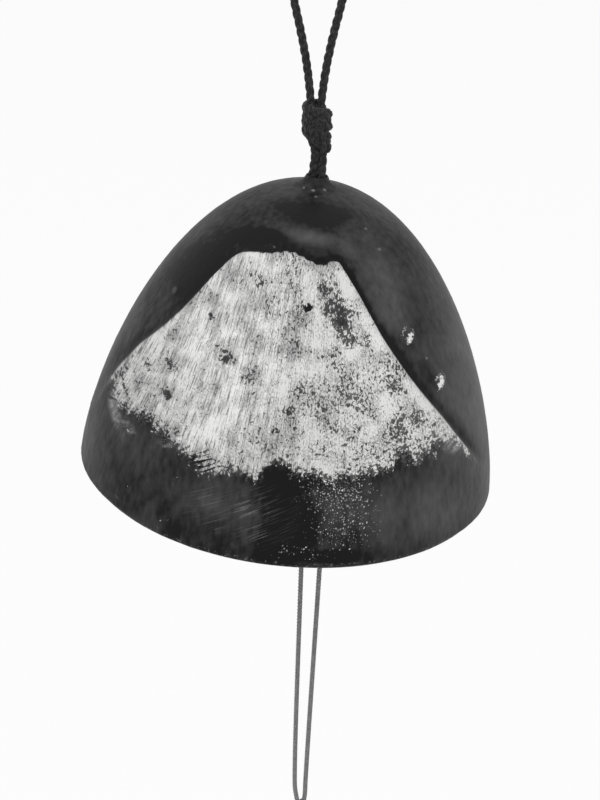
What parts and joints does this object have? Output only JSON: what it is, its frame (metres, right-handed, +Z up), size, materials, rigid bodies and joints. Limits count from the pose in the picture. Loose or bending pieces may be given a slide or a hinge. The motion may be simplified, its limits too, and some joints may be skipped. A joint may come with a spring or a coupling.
{
  "type": "wind bell",
  "caption": "Cast-iron wind bell with a snowy mountain in relief, hung on a knotted cord loop, with a disc clapper and a paper strip that catches the wind.",
  "frame": {"origin": "inside of the hanging loop's top bend, where a hook carries the bell", "axes": "+Z up along the plumb line, -Y towards the mountain, +X to the right seen from the mountain's side"},
  "size_m": [0.0758, 0.076, 0.3013],
  "materials": {
    "bell_iron": "satin black lacquer, with silver dry-brushed on the mountain",
    "clapper_iron": "satin black lacquer",
    "black_cord": "twisted cord",
    "grey_thread": "twisted thread",
    "paper": "plain handmade paper"
  },
  "bodies": {
    "hanger": {"hanging_loop": "black_cord"},
    "knot": {"top_knot": "black_cord"},
    "neck": {"neck_strands": "black_cord", "stop_knot": "black_cord"},
    "bell": {"bell": "bell_iron"},
    "hitch": {"clapper_hitch": "black_cord"},
    "clapper": {"clapper_cord": "black_cord", "clapper": "clapper_iron"},
    "under_knot": {"clapper_knot": "black_cord"},
    "threads": {"thread_left": "grey_thread", "thread_right": "grey_thread"},
    "gather_knot": {"strip_knot": "grey_thread"},
    "strip": {"strip_loop": "grey_thread", "paper_strip": "paper"}
  },
  "joints": [
    {"name": "cord_sway", "type": "hinge", "parent": "hanger", "child": "knot", "pos_m": [0, 0, -0.038], "axis": [0, 1, 0], "range_deg": [-45, 45]},
    {"name": "cord_nod", "type": "hinge", "parent": "knot", "child": "neck", "pos_m": [0.00014, 0, -0.0421], "axis": [1, 0, 0], "range_deg": [-45, 45]},
    {"name": "bell_turn", "type": "hinge", "parent": "neck", "child": "bell", "pos_m": [-0.00023, 0, -0.05601], "axis": [0.0837, 0, 0.9965], "continuous": true},
    {"name": "clapper_turn", "type": "hinge", "parent": "neck", "child": "hitch", "pos_m": [-0.00023, 0, -0.06131], "axis": [0, 0, 1], "continuous": true},
    {"name": "clapper_swing", "type": "hinge", "parent": "hitch", "child": "clapper", "pos_m": [-0.00023, 0, -0.06131], "axis": [1, 0, 0], "range_deg": [-24.8, 24.8]},
    {"name": "thread_nod", "type": "hinge", "parent": "clapper", "child": "under_knot", "pos_m": [-0.00023, 0, -0.10701], "axis": [1, 0, 0], "range_deg": [-38, 38]},
    {"name": "thread_sway", "type": "hinge", "parent": "under_knot", "child": "threads", "pos_m": [-0.00023, 0, -0.10701], "axis": [0, 1, 0], "range_deg": [-38, 38]},
    {"name": "strip_turn", "type": "hinge", "parent": "threads", "child": "gather_knot", "pos_m": [-0.00023, 0, -0.18301], "axis": [0, 0, 1], "continuous": true},
    {"name": "strip_flap", "type": "hinge", "parent": "gather_knot", "child": "strip", "pos_m": [-0.00023, 0, -0.18301], "axis": [1, 0, 0], "range_deg": [-60, 60]}
  ]
}
